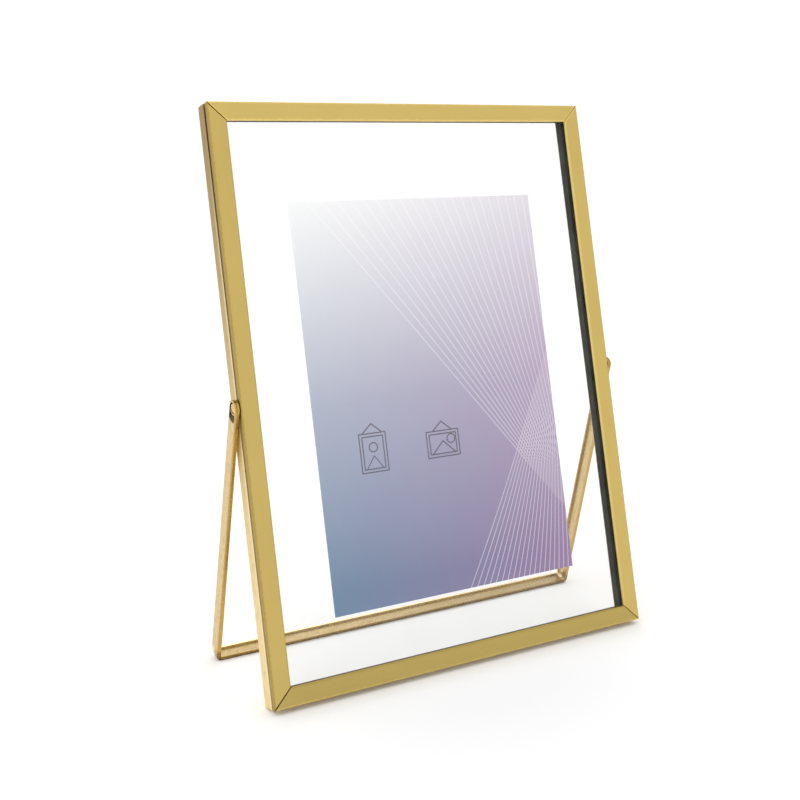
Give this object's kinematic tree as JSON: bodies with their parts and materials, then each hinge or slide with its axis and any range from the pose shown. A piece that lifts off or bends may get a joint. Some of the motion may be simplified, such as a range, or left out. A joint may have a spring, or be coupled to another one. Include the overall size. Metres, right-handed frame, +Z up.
{
  "type": "floating picture frame",
  "caption": "Leaning picture frame with mitred metal rails, a print held between two clear panes, and a U-shaped channel stand hinged at mid-height on both sides.",
  "frame": {"origin": "on the surface the frame stands on, under the middle of the space it takes up in the standing pose", "axes": "+Z up, the front of the frame faces -Y and leans back towards +Y, +X to the right of a viewer who faces the front"},
  "size_m": [0.166, 0.0604, 0.2122],
  "materials": {
    "front_satin_gold": "satin, flat-brushed gold lacquer",
    "side_pale_gold": "pale brushed gold plate",
    "stand_gold": "brushed gold plate",
    "screw_gold": "polished",
    "zinc_steel": "bright zinc plate",
    "nylon": "dark nylon",
    "clear_glass": "polished, ground edges",
    "print_paper": "satin printed card",
    "foam_rubber": "matt"
  },
  "bodies": {
    "frame": {"front_rail_top": "front_satin_gold", "front_rail_bottom": "front_satin_gold", "front_rail_left": "front_satin_gold", "front_rail_right": "front_satin_gold", "back_rail_top": "side_pale_gold", "back_rail_bottom": "side_pale_gold", "back_rail_left": "side_pale_gold", "back_rail_right": "side_pale_gold", "foam_strip_top": "foam_rubber", "foam_strip_bottom": "foam_rubber", "foam_strip_left": "foam_rubber", "foam_strip_right": "foam_rubber", "corner_key_top_left": "zinc_steel", "corner_key_top_right": "zinc_steel", "corner_key_bottom_left": "zinc_steel", "corner_key_bottom_right": "zinc_steel", "front_glass": "clear_glass", "back_glass": "clear_glass", "print_insert": "print_paper", "pivot_screw_left": "screw_gold", "outer_washer_left": "screw_gold", "thrust_washer_left": "nylon", "square_nut_left": "zinc_steel", "pivot_screw_right": "screw_gold", "outer_washer_right": "screw_gold", "thrust_washer_right": "nylon", "square_nut_right": "zinc_steel"},
    "stand": {"swing_stand": "stand_gold"}
  },
  "joints": [
    {"name": "stand_hinge", "type": "hinge", "parent": "frame", "child": "stand", "pos_m": [0, -0.00203, 0.10469], "axis": [1, 0, 0], "range_deg": [-29.09, 145.2]}
  ]
}
